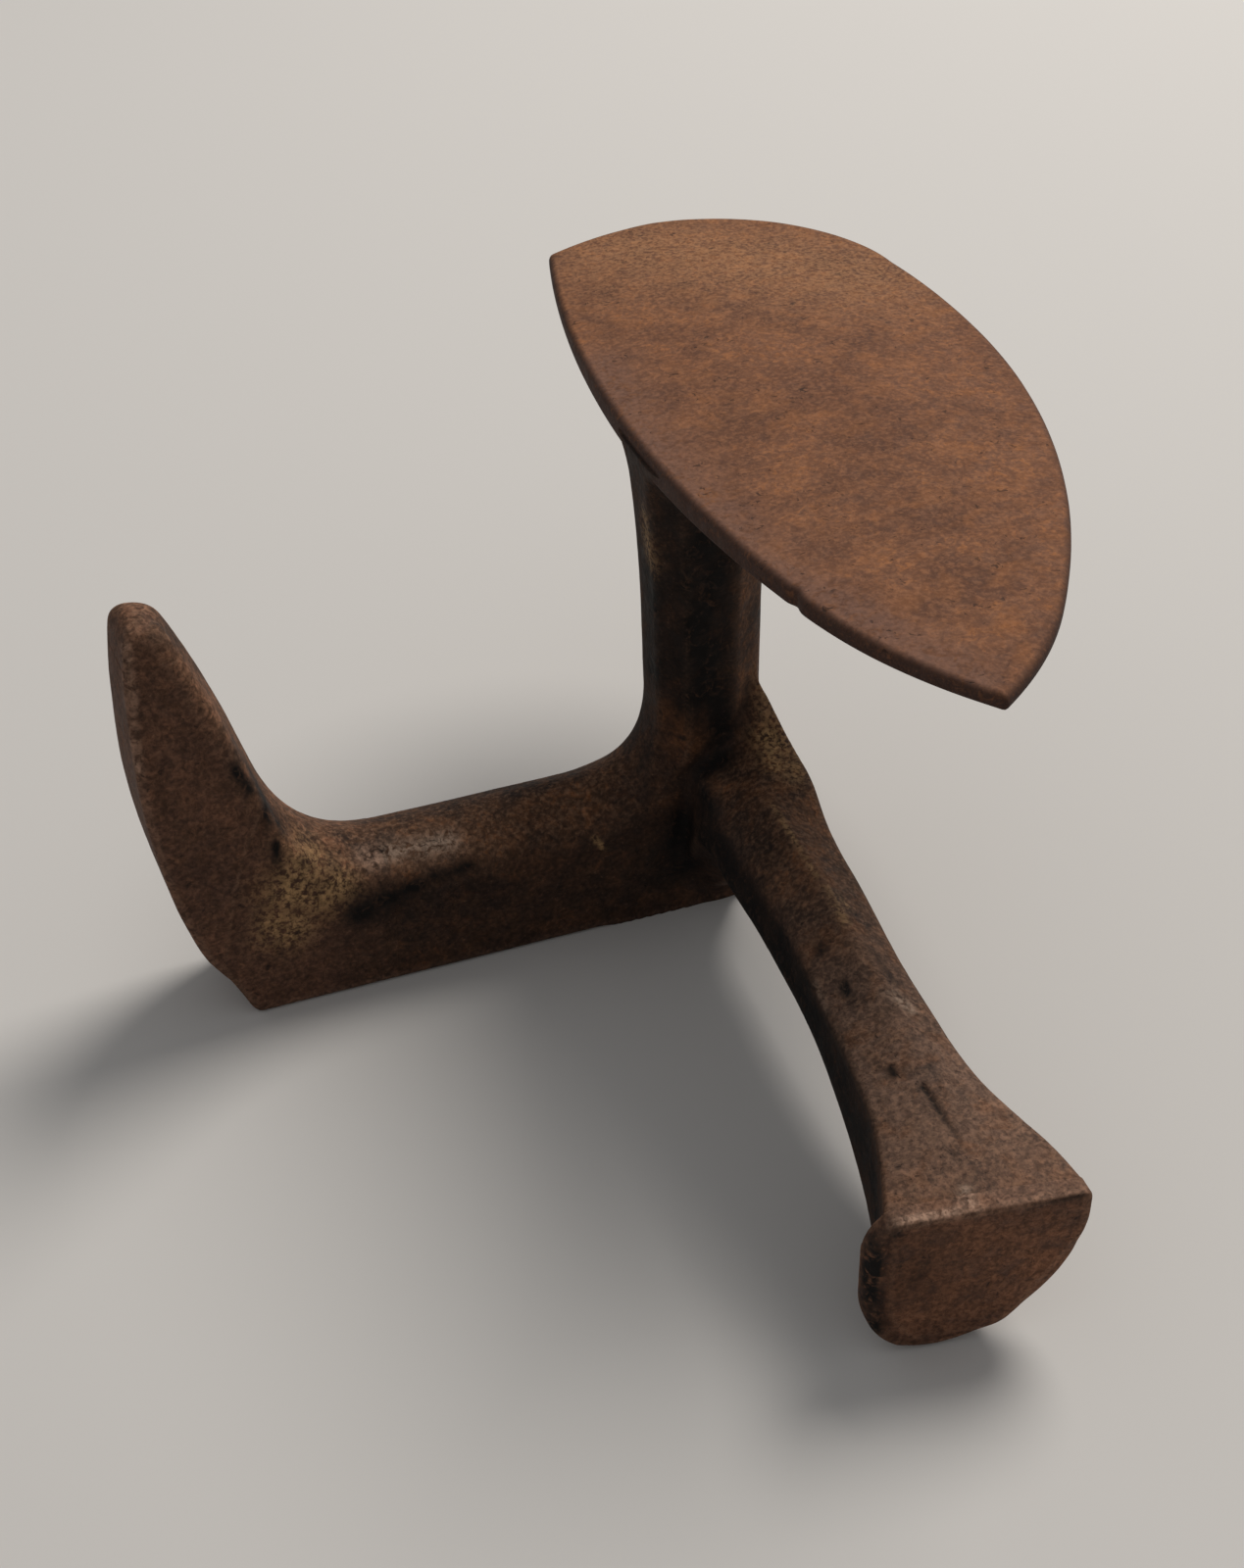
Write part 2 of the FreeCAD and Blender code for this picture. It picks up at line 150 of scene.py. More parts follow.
def waves(p, wavelengths, seed):
    """A smooth random height from -1 to 1 or so: for each wavelength in mm, five sine waves that
    cross the iron in random directions, weaker as they get shorter."""
    chance = np.random.default_rng(seed)
    height = 0
    for rank, wavelength in enumerate(wavelengths, start=1):
        directions = chance.normal(size=(3, 5))
        directions *= 2 * np.pi / (wavelength * np.linalg.norm(directions, axis=0))
        height = height + np.sin(p @ directions + chance.uniform(0, 6.3, 5)).sum(-1) / (2.2 * rank)
    return height / len(wavelengths)


def skin_facts(field, p, step=1.3):
    """The outward direction at each point, and how sharply the skin bends there, positive on an edge
    and negative in a hollow: the field's first and second differences over a step in mm."""
    offsets = np.eye(3) * step
    ahead = np.stack([field(p + offset) for offset in offsets], axis=-1)
    behind = np.stack([field(p - offset) for offset in offsets], axis=-1)
    slope = (ahead - behind) / (2 * step)
    bend = ((ahead + behind).sum(-1) - 6 * field(p)) / step ** 2
    return slope / np.linalg.norm(slope, axis=-1, keepdims=True), bend


def marks(p, strokes):
    """Strength from 0 to 1 of marks on the casting: each is a stroke from one place to another,
    fading as a bell, exp(-(distance / width)^2), with its width last."""
    strength = np.zeros(len(p))
    for stroke in strokes:
        start, run, width = np.array(stroke[:3]), np.array(stroke[3:6]) - stroke[:3], stroke[6]
        share = np.clip((p - start) @ run / max(run @ run, 1e-6), 0, 1)
        away = ((p - start - share[:, None] * run) ** 2).sum(-1)
        strength = np.maximum(strength, np.exp(-away / width ** 2))
    return strength


# Marks on the casting, each from one X, Y, Z to another with its width in mm.
# Straw-coloured dust lies in the corners, in scratches and along the ridges.
DUSTY = [
    (-13.9, -4, 105, -13.7, -5.5, 91, 1.9), (-13.4, -4, 99, -13.4, -5, 94, 2.6),
    (13, -11, 57.5, 13.6, -16, 49, 4), (13, -21, 48.5, 12, -26, 47.5, 4.5),
    (9.5, -17, 48.5, 9, -24, 47, 3.5), (2, -36, 46, 1.6, -62, 45.3, 0.8),
    (2.6, -66, 45, 1.8, -76, 44.3, 1.3), (5, -68, 44, 5, -71, 43.5, 1.2),
    (-101, -12, 33, -97, -12, 37, 7), (-95, -12, 29, -92, -12, 31, 5), (-104, -12, 24, -104, -12, 24, 6),
    (-50, -8, 35, -46, -8.5, 33.8, 0.7), (-46, -8.5, 33.8, -41, -7.5, 35, 0.7),
    (-36.6, -12.4, 29, -35.5, -12.3, 30.5, 0.7), (-31.7, -12.4, 27.9, -29.3, -12.5, 23.6, 0.5)]
# Old tar or pitch is black and sits on the skin in spots and streaks.
TARRED = [
    (-87, -12.5, 22.5, -80, -12.5, 24, 4.6), (-76, -12.5, 26, -73, -12.5, 25.6, 2.4),
    (-69, -12.5, 27.4, -61, -12.5, 28, 2.0),
    (-101, -7, 49, -106, -5, 62, 4), (-103, -10, 53, -103, -10, 53, 4),
    (-104, -12.5, 42, -103, -12.5, 46, 1.6), (-109, -11, 67, -106, -11.5, 61, 1.8),
    (-97, -12.5, 40, -95, -12.5, 38, 2.0), (-10, -15, 40, -1.5, -15, 43.5, 3.4),
    (-9, -17, 40, -8, -26, 37, 3.6), (-9, -13, 26, -12, -13, 14, 7), (5, -84, 42.2, 5.6, -93, 41, 1.2),
    (-4.6, -90, 40.3, -5.3, -92.5, 39.8, 1.4), (-5, -78, 41.3, -5.2, -80, 41, 1.6),
    (-5.7, -114, 38.9, -5.9, -115.5, 38.7, 1.2), (-2, -120.5, 39.4, -1.3, -135.5, 38.6, 0.8),
    (3, -153.2, 36, 14, -153, 36, 0.8), (-21, -147, 34, -24, -146, 31, 2.5)]
# The sides that face left and near are black with grime over broad areas, laid on as painted shade too:
# under the plate and on the faces turned from the light.
SOOT_AND_SHADE = [
    (-5, -12.5, 118, -5, -12.5, 60, 10), (-13, -4, 88, -13, -4, 64, 6),
    (-1, -12.5, 60, 0, -12.5, 46, 4.5), (-11, -26, 33, -11.5, -95, 31, 9),
    (-11.5, -95, 31, -17.5, -142, 23, 9), (-25, -147, 30, -24.5, -147, 8, 4)]
# Fresh orange rust has come up on the heel's face and in the post's corner.
RUSTY = [(-20, -149, 20, 14, -153, 20, 17), (-13, -12.5, 54, -10, -12.5, 48, 5)]
# Handling has worn the horn's near edge, the ridges and the heel's upper edge to paler metal.
WORN = [
    (-125.6, -6.5, 99, -126.5, -8.2, 86, 1.0), (-126.5, -8.2, 86, -128.2, -10, 72, 0.9),
    (-82, -7, 34, -64, -7, 32.5, 3), (-80, -9.5, 33, -66, -9.5, 33.8, 0.9),
    (-61, -9, 33.5, -59, -9, 33.8, 0.8),
    (-21, -147, 36.2, -9, -148.8, 37, 1.0), (-6, -149, 37.2, -5.5, -145, 37.6, 1.4),
    (3, -97, 40.8, 5, -101, 39.8, 1.8), (-9.8, -86, 38.8, -10.8, -94, 38.4, 0.8)]
# A shallow groove runs along the front leg's top near the heel.
GROOVES = [(-2, -120.5, 39.4, -1.3, -135.5, 38.6, 0.8)]
GROOVE_DEPTH = 0.6


def iron_mesh(name, points, faces, facts):
    """A smooth-shaded object of these points, in metres, with each fact as a value at every point."""
    mesh = bpy.data.meshes.new(name)
    mesh.from_pydata((points / 1000).tolist(), [], faces)
    mesh.polygons.foreach_set("use_smooth", np.ones(len(mesh.polygons), bool))
    for fact, values in facts.items():
        values = np.broadcast_to(values, len(points)).astype(np.float32)
        mesh.attributes.new(fact, "FLOAT", "POINT").data.foreach_set("value", values)
    mesh.update()
    piece = bpy.data.objects.new(name, mesh)
    bpy.context.scene.collection.objects.link(piece)
    return piece


# Faces turned away from this side are painted darker, as shade together with soot.
LIT_SIDE = (0.95, 0.3, 0.95)    # up, to the right and a little back, where light and air reach the iron
GRIMY_FROM, GRIMY_TO = -97, -82    # X between which the side leg's grime thins out on the toe last's foot


def cast_piece(name, field, form, roughness=0.3):
    """A piece of the casting: the form's skin, made uneven by up to the roughness in mm. Each point carries
    how rubbed, hollow and upward the iron is there, how far it is turned from the light (for painted shade
    and soot), and how far its top is out in front of the plate (for weathering and painted light). It also
    carries how freshly rusted and grimy the iron is there, and how much dust, tar, soot with painted shade
    and worn metal shows."""
    points, faces = form
    outward, bend = skin_facts(field, points)
    uneven = waves(points, (21, 11, 6, 3.2, 1.9), seed=3)
    resting = np.clip(points[:, 2] / 1.5, 0, 1)
    ragged = 0.5 + 0.5 * waves(points, (8, 4, 2, 1.2), seed=8)
    lit = 0.42 + outward @ np.array(LIT_SIDE)
    # Faces turned left and near, away from the lamp: here the soot marks also paint shade.
    shaded_side = np.clip(10 * np.hypot(*np.minimum(outward[:, :2], 0).T) - 8.3, 0, 1)
    black = np.maximum(marks(points, TARRED), shaded_side * marks(points, SOOT_AND_SHADE))
    grimy = np.clip((points[:, 0] - GRIMY_FROM) / (GRIMY_TO - GRIMY_FROM), 0, 1)
    facts = {
        "rubbed_and_rim_shade": 0.3 * np.clip(bend / 0.3 - 0.2, 0, 1), "hollow": np.clip(-bend / 0.12, 0, 1),
        "upward": np.clip(outward[:, 2], 0, 1), "shade_and_soot": 1 - np.clip(lit, 0, 1),
        # Tops further out in front of the plate are paler: weathering together with painted light.
        "weathered_and_lit": np.clip((-points[:, 1] - 50) / 65, 0, 1) * np.clip(1.3 * outward[:, 2], 0, 1),
        "rusty": marks(points, RUSTY) * 0.8,
        "grimy": grimy * (points[:, 1] > -60),
        "dust": np.clip(marks(points, DUSTY) * (0.35 + 1.1 * ragged), 0, 1),
        "tar_soot_and_shade": np.clip(black * (0.35 + 1.3 * ragged), 0, 1),
        "worn_and_edge_shade": np.clip(marks(points, WORN) * (0.5 + 0.9 * ragged), 0, 1)}
    inward = roughness * resting * (0.55 + 0.45 * uneven) + GROOVE_DEPTH * marks(points, GROOVES)
    return iron_mesh(name, points - outward * inward[:, None], faces, facts)


def linear(hex_colour):
    """An sRGB colour written as RRGGBB, as linear RGBA."""
    parts = [int(hex_colour[i:i + 2], 16) / 255 for i in (0, 2, 4)]
    return [((c + 0.055) / 1.055) ** 2.4 if c > 0.04045 else c / 12.92 for c in parts] + [1.0]


def add(tree, kind, inputs, **settings):
    """Adds a node, with its settings, and its inputs by name or number: a value, a colour as RRGGBB,
    or an output to link from."""
    node = tree.nodes.new(kind)
    for setting, value in settings.items():
        setattr(node, setting, value)
    for key, value in inputs.items():
        if isinstance(value, bpy.types.NodeSocket):
            tree.links.new(value, node.inputs[key])
        else:
            node.inputs[key].default_value = linear(value) if isinstance(value, str) else value
    return node


def coverage(tree, *parts):
    """How much of a coat shows, as the product of its parts. A part is a number, an output, or an
    output with the range over which it rises from 0 to 1, or between two other values given last."""
    product = None
    for part in parts:
        if isinstance(part, tuple):
            value, low, high, *ends = part
            start, end = ends or (0.0, 1.0)
            part = add(tree, "ShaderNodeMapRange", {
                "Value": value, "From Min": low, "From Max": high, "To Min": start, "To Max": end},
                clamp=True, interpolation_type="SMOOTHSTEP").outputs["Result"]
        product = part if product is None else add(
            tree, "ShaderNodeMath", {0: product, 1: part}, operation="MULTIPLY").outputs[0]
    return product


# Random patterns on the iron: size in mm, detail, warp, and offset in metres that sets it apart
GRAINS = (
    (17, 4, 0.4, 0.0),     # blotches of rust a centimetre or two wide
    (4.2, 6, 0.6, 0.0),    # mottling
    (2.4, 4, 1.2, 3.1),    # flakes
    (1.1, 3, 0.3, 7.7),    # fine scale
    (0.7, 2, 0.0, 1.3),    # specks and crumbs
    (9, 3, 0.5, 4.4),      # patches of redder or darker rust
    (1.9, 2, 0.8, 5.5),    # pits
    (9, 3, 0.2, 2.2))      # the places where pits gather
GRIME_AND_SHADE, PIT, TAR_SOOT_AND_SHADE = "2C1F19", "17110E", "120E0C"
FACTS = ("rubbed_and_rim_shade", "hollow", "upward", "shade_and_soot", "weathered_and_lit", "rusty", "grimy", "dust", "tar_soot_and_shade", "worn_and_edge_shade")


def rusted_iron(name, deep, brown, light, orange, weathered_and_lit_top, shade_and_soot, dust, worn_and_edge_shade, rubbed_and_rim_shade, coarse, relief):
    """Grey cast iron left in the damp: a matt brown rust over a near-black skin, blotched in patches of a
    centimetre, mottled in flakes of a few millimetres and flecked with pits and crumbs of rust. Faces turned
    up are painted paler as light, and faces turned from the light darker as shade. Coarse is how much the
    grit lightens and darkens it, and relief its height in mm."""
    material = bpy.data.materials.new(name)
    material.use_nodes = True
    tree = material.node_tree
    tree.nodes.clear()
    place = add(tree, "ShaderNodeTexCoord", {}).outputs["Object"]
    fact = {key: add(tree, "ShaderNodeAttribute", {}, attribute_name=key).outputs["Fac"] for key in FACTS}
    blotch, mottle, flake, fine, speck, patch, pits, pitted = (
        add(tree, "ShaderNodeTexNoise", {
            "Vector": add(tree, "ShaderNodeVectorMath", {0: place, 1: (offset, offset, offset)}).outputs[0],
            "Scale": 1000 / size_mm, "Detail": detail, "Roughness": 0.62, "Distortion": warp}).outputs["Fac"]
        for size_mm, detail, warp, offset in GRAINS)
    pit = coverage(tree, (pits, 0.62, 0.7), (pitted, 0.45, 0.58))
    # The colour of the painted shade and soot: the darker grime colour on the side leg, and the piece's own
    # colour towards the toe.
    shade = add(tree, "ShaderNodeMix", {"Factor": fact["grimy"], 6: shade_and_soot, 7: GRIME_AND_SHADE},
                data_type="RGBA").outputs[2]

    # each coat's colour and how much of it shows
    coats = [
        (brown, (blotch, 0.34, 0.62)),
        (brown, (mottle, 0.46, 0.66), 0.75),
        (deep, (mottle, 0.44, 0.28), 0.55),
        (orange, (flake, 0.46, 0.7), (blotch, 0.4, 0.62)),
        # Painted light with weathering: paler tops out in front of the plate.
        (weathered_and_lit_top, fact["weathered_and_lit"], (mottle, 0.15, 0.62)),
        (orange, (patch, 0.5, 0.66, 0.0, 0.4)),
        (deep, (patch, 0.44, 0.3, 0.0, 0.3)),
        # Painted light with dust: faces turned up are paler.
        (light, (fine, 0.4, 0.75), 0.5, fact["upward"]),
        # Painted shade with soot: faces turned from the light darken to the shade colour.
        (shade, fact["shade_and_soot"], (mottle, 0.3, 0.7, 1.0, 0.68)),
        (orange, fact["rusty"], (mottle, 0.25, 0.6)),
        # Darker in the hollows and creases.
        (shade, fact["hollow"], 0.55),
        (dust, fact["dust"], (fine, 0.36, 0.56)),
        (worn_and_edge_shade, fact["worn_and_edge_shade"], (flake, 0.34, 0.54)),
        (rubbed_and_rim_shade, fact["rubbed_and_rim_shade"], (flake, 0.2, 0.5)),
        (deep, (speck, 0.46, 0.32), 0.4),
        (light, (speck, 0.6, 0.74), 0.25),
        (PIT, pit, 0.6)]
    colour = deep
    for coat, *parts in coats:
        colour = add(tree, "ShaderNodeMix", {"Factor": coverage(tree, *parts), 6: colour, 7: coat},
                     data_type="RGBA").outputs[2]
    grit = coverage(
        tree, (flake, 0.3, 0.7, 1 - coarse, 1 + coarse), (fine, 0.36, 0.64, 1 - coarse, 1 + coarse))
    colour = add(tree, "ShaderNodeVectorMath", {0: colour, 3: grit}, operation="SCALE").outputs[0]
    # Painted shade with tar and soot: black in the tar spots and over the shaded left and near sides.
    colour = add(tree, "ShaderNodeMix", {
        "Factor": coverage(tree, fact["tar_soot_and_shade"], (flake, 0.3, 0.5)), 6: colour, 7: TAR_SOOT_AND_SHADE},
        data_type="RGBA").outputs[2]

    height = coverage(tree, mottle, 0.55)
    for bump_grain, weight in ((flake, 0.3), (fine, 0.25), (pit, -0.25)):
        height = add(tree, "ShaderNodeMath", {0: bump_grain, 1: weight, 2: height},
                     operation="MULTIPLY_ADD").outputs[0]
    bump = add(tree, "ShaderNodeBump", {"Height": height, "Strength": 1.0, "Distance": relief / 1000})
    rough = add(tree, "ShaderNodeMapRange", {
        "Value": mottle, "From Min": 0.3, "From Max": 0.7, "To Min": 0.66, "To Max": 0.88})
    shader = add(tree, "ShaderNodeBsdfPrincipled", {
        "Base Color": colour, "Roughness": rough.outputs["Result"], "Specular IOR Level": 0.16,
        "Normal": bump.outputs["Normal"]})
    add(tree, "ShaderNodeOutputMaterial", {"Surface": shader.outputs["BSDF"]})
    return material


# Leg iron: grey iron as it left the sand, never machined and black with grime, and painted darker still as
# shade on the sides turned from the light. Its rust is the darkest on the casting.
leg_iron = rusted_iron(
    "leg_iron", deep="2F2018", brown="5F422F", light="7B5E49", orange="74492B", weathered_and_lit_top="71584A",
    shade_and_soot="2C1F19", dust="94744F", worn_and_edge_shade="8E7867", rubbed_and_rim_shade="6B5242", coarse=0.24, relief=0.32)


def finish_piece(piece, node, material):
    """Gives a piece its finish, sets it on the casting's body and in its construction node's place."""
    piece.data.materials.append(material)
    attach(piece, "root")
    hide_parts(node)


UPRIGHT_LOW, UPRIGHT_TOP = 62.0, 118.6


def upright_piece(p):
    """The post from its cut with the hub up into the plate."""
    return np.maximum(beyond(upright_field(p), UPRIGHT_LOW - p[..., 2]), p[..., 2] - UPRIGHT_TOP)


rows = np.arange(UPRIGHT_LOW - 2.6, UPRIGHT_TOP - 0.2, 0.45)
post_line = np.stack([rows * 0, rows * 0, rows], axis=-1)
upright = cast_piece(
    "upright_leg", upright_field,
    shell(upright_piece, post_line, (1, 0, 0), (0, 1, 0), rows * 0, 220, 40))
finish_piece(upright, "upright_leg", leg_iron)


# Side leg: the bar that lies on the floor
# Part of the casting. Its near face is flush with the post's, and two slopes meet along its top.

SIDE_HALF = 12.5
SIDE_START, SIDE_END = 33.0, 80.0


def bar_top(p):
    """Distance to the two slopes along the bar's top, whose ridge sinks a little at mid-length."""
    x, y, z = p[..., 0], p[..., 1], p[..., 2]
    ridge = along(-x, (0, 30, 60, 90, 120), (37, 37, 35.5, 36.5, 38))
    near = (z - ridge) * SIDE_HALF - 7 * y
    far = (z - ridge) * SIDE_HALF + (ridge - 30) * y
    return round_max(near / np.hypot(SIDE_HALF, 7), far / np.hypot(SIDE_HALF, ridge - 30), 4.5)


def bar_field(p, top, half):
    """Distance to a bar under the top that is given, between two sides at half its thickness and
    the floor."""
    sides = round_max(np.abs(p[..., 1]) - half, -p[..., 2], 2.0)
    return round_max(top, sides, 4.5)


def side_field(p):
    """Distance to the bar itself, which ends inside the post."""
    return np.maximum(bar_field(p, bar_top(p), SIDE_HALF), p[..., 0])


def side_piece(p):
    """The bar between its cuts with the hub and with the toe last."""
    x = p[..., 0]
    return beyond(beyond(side_field(p), x + SIDE_START), -SIDE_END - x)


rows = np.arange(SIDE_START - 2.6, SIDE_END + 2.7, 0.45)
bar_line = np.stack([-rows, rows * 0, rows * 0 + 17], axis=-1)
side = cast_piece(
    "side_leg", side_field,
    shell(side_piece, bar_line, (0, 0, 1), (0, 1, 0), rows * 0, 260, 40))
finish_piece(side, "side_leg", leg_iron)


# Front leg: the arched leg that carries the heel last
# Part of the casting. It stands clear of the floor, keeps one ridge along its top, and widens
# into the back of the heel last. Its stations go from inside the hub out to the last.

FRONT_STATIONS = (6.6, 16, 21, 30, 39, 60, 95, 122, 130, 137, 146)
FRONT_LEFT = (-8.5, -10, -10.5, -10.9, -11.1, -11.1, -11.8, -14.2, -15.9, -17.9, -21.1)
FRONT_LEAN = (2, 2.5, 3, 3.3, 3.3, 3.2, 0.9, 0.3, 0.2, 0.1, 0)
FRONT_RIGHT = (10.6, 14.3, 14.6, 14.6, 14.2, 13, 10.5, 11.4, 13.4, 15.4, 16.6)
FRONT_LOW = (3, 7, 12, 18, 18, 18, 14, 8, 6.3, 5, 3.5)
FRONT_LEFT_FOOT = (8, 20, 27, 31, 31, 31, 26, 15, 13, 12, 12)
FRONT_RIGHT_FOOT = (12, 22, 28, 31, 31, 31, 28, 25, 25.5, 26.5, 28)
FRONT_LEFT_EAVE = (40, 39.8, 39.8, 39.8, 39.8, 39.5, 38, 37.3, 37, 36.8, 36.4)
FRONT_RIGHT_EAVE = (60, 48.2, 46.6, 44.9, 40.2, 38, 37, 36.5, 36.5, 36.5, 36.4)
FRONT_RIDGE_X = (9.8, 7.4, 5.2, 1.8, 1.8, 1.8, 1.2, -1, -1.9, -2.8, -4)
FRONT_RIDGE = (60.6, 48.8, 47, 46, 46, 45.3, 42, 39.5, 38.7, 38, 37.2)
HEEL_YAW = math.radians(8)
HEEL_X, HEEL_REACH, HEEL_BLOCK = -5.6, 150.2, 4.2


def front_distance(p):
    """How far in front of the post a point is, measured square to sections that turn with the
    heel last as they near it."""
    x, y = p[..., 0], p[..., 1]
    turned = np.clip((-y - 95) / 45, 0, 1)
    return -y - turned * math.tan(HEEL_YAW) * (x - HEEL_X)


def front_field(p):
    """Distance to the leg: at each station a seven-sided section in X and Z with a ridged top."""
    x, z = p[..., 0], p[..., 2]
    s = front_distance(p)
    left, lean, right, low, left_foot, right_foot, left_eave, right_eave, ridge_x, ridge = (
        along(s, FRONT_STATIONS, values) for values in (
            FRONT_LEFT, FRONT_LEAN, FRONT_RIGHT, FRONT_LOW, FRONT_LEFT_FOOT, FRONT_RIGHT_FOOT,
            FRONT_LEFT_EAVE, FRONT_RIGHT_EAVE, FRONT_RIDGE_X, FRONT_RIDGE))
    section = facets(x, z, [
        (left, left_foot), (left + lean, left_eave), (ridge_x, ridge), (right, right_eave),
        (right, right_foot), (right - (right_foot - low) * 0.6, low),
        (left + (left_foot - low) * 0.6, low)], 1.7)
    return round_max(section, FRONT_STATIONS[0] - s, 4.0)


FRONT_START, FRONT_END = 30.0, HEEL_REACH - HEEL_BLOCK


def front_piece(p):
    """The leg between its cuts with the hub and with the heel last."""
    s = front_distance(p)
    return beyond(beyond(front_field(p), FRONT_START + p[..., 1]), s - FRONT_END)


rows = np.arange(FRONT_START - 2.6, FRONT_END + 2.0, 0.48)
middle_height = along(rows, FRONT_STATIONS, (np.array(FRONT_LOW) + np.array(FRONT_RIDGE)) / 2 + 2)
turn = np.clip((rows - 95) / 45, 0, 1) * HEEL_YAW
leg_line = np.stack([rows * 0 - 0.03 * np.maximum(rows - 60, 0), -rows, middle_height], axis=-1)
leg_across = np.stack([np.cos(turn), -np.sin(turn), turn * 0], axis=-1)
front = cast_piece(
    "front_leg", front_field,
    shell(front_piece, leg_line, leg_across, (0, 0, 1), rows * 0, 280, 45))
finish_piece(front, "front_leg", leg_iron)


# Hub: the corner block where the three legs run into each other
# Part of the casting. The side leg sweeps up into the post with a wide hollow. The front leg butts
# against its near face, and the leg's right-hand half climbs the post's facets as a short web.

SWEEP, VALLEY = 19.0, 3.0
HUB_MIDDLE = (-1.0, -2.5, 28.0)


def hub_field(p):
    """Distance to the three legs together: the side leg and the post filled between them and cut
    again along their common faces, then joined to the front leg with a tight valley. The cut's own
    edge is rounded only where the fill is."""
    bar, post = side_field(p), round_max(upright_field(p), -p[..., 2], 2.0)
    filled = round_min(bar, post, SWEEP)
    eave = np.clip(np.minimum(bar, post) - filled, 0.05, 3.0)
    corner = round_max(filled, np.abs(p[..., 1]) - SIDE_HALF, eave)
    return np.maximum(round_min(corner, front_field(p), VALLEY), -p[..., 2])


def hub_piece(p):
    """The block between its cuts with the three legs."""
    x, y, z = p[..., 0], p[..., 1], p[..., 2]
    return beyond(beyond(beyond(hub_field(p), -SIDE_START - x), -FRONT_START - y), z - UPRIGHT_LOW)


tilt = np.radians(np.linspace(-89, 89, 250))
hub = cast_piece(
    "hub", hub_field,
    shell(hub_piece, HUB_MIDDLE, (0, 0, 1), (1, 0, 0), tilt, 390, 70))
finish_piece(hub, "hub", leg_iron)


# Toe last: the tapering horn that stands up from the end of the side leg
# Part of the casting. Its outer face is a working face, turned a little to the near side and rubbed
# along its near edge. It is thick at the foot and narrow and rounded at the tip.

TOE_HEIGHTS = (0, 11, 18.5, 28.5, 46, 60, 75, 94, 103)
TOE_FACE = (-115.0, -119.5, -123.6, -126.6, -129.6, -130.7, -130.3, -128.6, -127)
TOE_BACK_HEIGHTS = (0, 37, 58, 70, 82, 94, 104)
TOE_BACK = (-88, -98.3, -104.3, -107.4, -111.0, -115.2, -119.3)
TOE_TIP = 103.0
TOE_HALF_HEIGHTS, TOE_HALF = (0, 44, 60, 80, 103), (12.5, 12.5, 11.6, 9.6, 6.6)
TOE_LIP_HEIGHTS = (0, 11, 25.5, 38.5, 48, 58.5, 75)
TOE_LIP = (-118.5, -117.5, -114.6, -111.1, -107.3, -101.5, -96)


def toe_field(p):
    """Distance to the horn and the end of the bar: the bar's top and the horn's back filled between
    them, cut by the working face, the two sides, the tip and the floor. The sides step out by half
    a millimetre in front of a lip that curves up from the foot."""
    x, y, z = p[..., 0], p[..., 1], p[..., 2]
    face = (along(z, TOE_HEIGHTS, TOE_FACE) + 0.08 * np.maximum(6 - y, 0) - x) * 0.97
    back = (x - along(z, TOE_BACK_HEIGHTS, TOE_BACK)) * 0.96
    proud = np.clip((along(z, TOE_LIP_HEIGHTS, TOE_LIP) - x) / 2.2, 0, 1)
    half = along(z, TOE_HALF_HEIGHTS, TOE_HALF) + 0.5 * proud ** 2 * (3 - 2 * proud)
    horn = bar_field(p, round_min(bar_top(p), back, 18.0), half)
    horn = round_max(horn, face, 1.8)
    return round_max(horn, z - TOE_TIP, 5.0)


def toe_piece(p):
    """The horn from its cut with the side leg."""
    return beyond(toe_field(p), p[..., 0] + SIDE_END)


# The line of centres runs level out of the side leg, turns upwards and rises into the horn.
bend_rows = np.radians(np.arange(0, 90, 0.62))
pivot = np.array([-87.6, 0, 66])
level_rows = np.arange(SIDE_END - 2.6, 87.4, 0.45)
level_line = np.stack([-level_rows, level_rows * 0, level_rows * 0 + 18], axis=-1)
outwards = np.stack([-np.sin(bend_rows), bend_rows * 0, -np.cos(bend_rows)], axis=-1)
depth = along(np.degrees(bend_rows), (0, 30, 55, 90), (48, 40, 34, 30.5))
bend_line = pivot + outwards * depth[:, None]
rise = np.arange(66.4, 94, 0.45)
rise_line = np.stack([-118.2 - (rise - 66) * 0.16, rise * 0, rise], axis=-1)
cap_tilt = np.radians(np.linspace(0, 88, 44))
toe_line = np.concatenate([level_line, bend_line, rise_line, np.repeat(rise_line[-1:], 44, axis=0)])
toe_across = np.concatenate([
    np.tile([0, 0, 1.0], (len(level_rows), 1)), -outwards, np.tile([1.0, 0, 0], (len(rise) + 44, 1))])
toe_tilt = np.concatenate([level_rows * 0, bend_rows * 0, rise * 0, cap_tilt])
# Last iron: the same iron, handled and struck, so grime hasn't stayed on it, and the painted shade on its
# sides turned from the light is a redder brown.
last_iron = rusted_iron(
    "last_iron", deep="2F2018", brown="5F422F", light="7D604C", orange="7A523B", weathered_and_lit_top="71584A",
    shade_and_soot="543A2D", dust="94744F", worn_and_edge_shade="A88873", rubbed_and_rim_shade="80624F", coarse=0.26, relief=0.35)
toe = cast_piece(
    "toe_last", toe_field,
    shell(toe_piece, toe_line, toe_across, (0, 1, 0), toe_tilt, 260, 75))
finish_piece(toe, "toe_last", last_iron)


# Heel last: the D-shaped block at the end of the front leg
# Part of the casting. The flat face is the working face, and it stands on its rounded lower edge. The
# slopes of the leg's top run on over it, and its left side stands out from the leg as a shoulder.

HEEL_LEFT, HEEL_RIGHT, HEEL_TOP, HEEL_EAVE = -20.3, 22.0, 36.9, 36.1
HEEL_BOW_CENTRE, HEEL_BOW = (-9.89, 31.7), 32.0


def heel_place(p):
    """Where a point is across the block's face, and how far out in front of it."""
    x, y = p[..., 0] - HEEL_X, p[..., 1] + HEEL_REACH
    return (math.cos(HEEL_YAW) * x - math.sin(HEEL_YAW) * y,
            -math.sin(HEEL_YAW) * x - math.cos(HEEL_YAW) * y)


